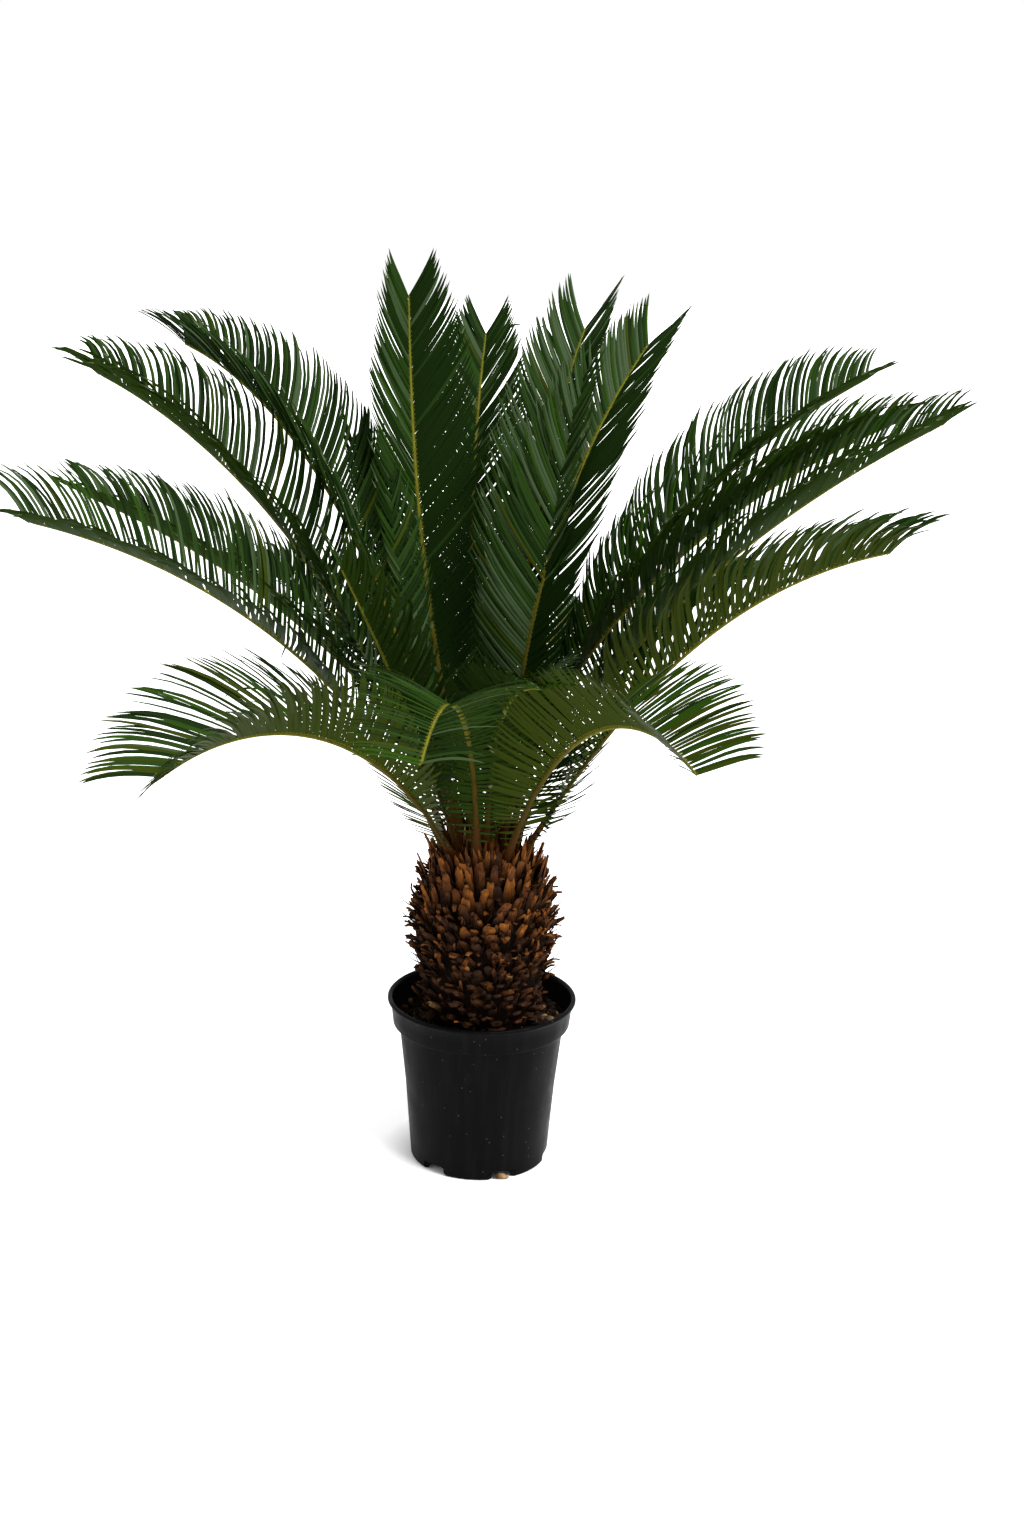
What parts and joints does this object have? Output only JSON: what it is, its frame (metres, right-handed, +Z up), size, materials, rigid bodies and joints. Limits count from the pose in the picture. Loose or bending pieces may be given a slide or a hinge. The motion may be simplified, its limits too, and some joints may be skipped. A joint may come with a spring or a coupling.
{
  "type": "sago palm in a nursery pot",
  "caption": "Young sago palm: a stout scaly trunk in a round black nursery pot, under a spreading crown of stiff feathered fronds",
  "frame": {"origin": "middle of the pot's flat underside", "axes": "+Z up, out of the underside and through the trunk; -Y towards the side that the crown's low arched fronds and young fronds face; +X to the right of that view"},
  "size_m": [1.2028, 1.147, 1.2213],
  "materials": {
    "black_plastic": "satin",
    "compost": "matte",
    "leaf_bases": "matte",
    "leaf_green": "satin"
  },
  "bodies": {
    "root": {"pot": "black_plastic", "compost": "compost", "trunk": "leaf_bases", "frond_left_low": "leaf_green", "frond_left": "leaf_green", "frond_left_upper": "leaf_green", "frond_back_left_upper": "leaf_green", "frond_back_left_inner": "leaf_green", "frond_back_left_tall": "leaf_green", "frond_back_tall": "leaf_green", "frond_back_right_tall": "leaf_green", "frond_back_right_upper": "leaf_green", "frond_right_upper": "leaf_green", "frond_right": "leaf_green", "frond_right_middle": "leaf_green", "frond_right_low": "leaf_green", "frond_front_right_arch_foot": "leaf_green", "frond_front_right_arch_tip": "leaf_green", "frond_front_left_arch_foot": "leaf_green", "frond_front_left_arch_tip": "leaf_green", "frond_front_arch_foot": "leaf_green", "frond_front_arch_tip": "leaf_green", "frond_front_young": "leaf_green", "frond_front_left_young": "leaf_green", "frond_back_right_low": "leaf_green", "frond_back_low_foot": "leaf_green", "frond_back_low_tip": "leaf_green", "frond_back_left_arch_foot": "leaf_green", "frond_back_left_arch_tip": "leaf_green", "frond_back_left_low": "leaf_green"}
  },
  "joints": []
}
